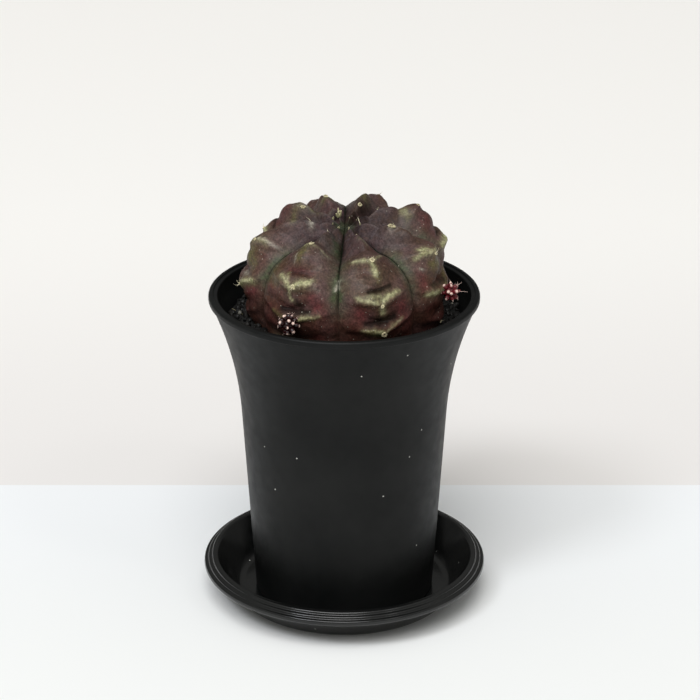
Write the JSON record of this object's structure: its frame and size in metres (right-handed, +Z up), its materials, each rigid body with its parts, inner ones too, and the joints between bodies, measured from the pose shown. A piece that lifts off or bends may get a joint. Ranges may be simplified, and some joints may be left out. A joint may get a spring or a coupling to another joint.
{
  "type": "potted round cactus",
  "caption": "Round ribbed cactus with small side offsets, rooted in potting mix in a tall flared black nursery pot that stands in a round saucer.",
  "frame": {"origin": "centre of the saucer's flat underside, on the surface that it stands on", "axes": "+Z up through the middle of the pot, -Y towards the front of the picture, where the plant leans a little, +X to the picture's right"},
  "size_m": [0.0806, 0.0806, 0.1175],
  "materials": {
    "saucer_plastic": "satin",
    "pot_plastic": "satin",
    "potting_mix": "matte",
    "cactus_skin": "satin",
    "offset_skin": "satin"
  },
  "bodies": {
    "root": {"saucer": "saucer_plastic", "pot": "pot_plastic", "soil": "potting_mix", "cactus_body": "cactus_skin", "offset_front_left": "offset_skin", "offset_right": "offset_skin"}
  },
  "joints": []
}
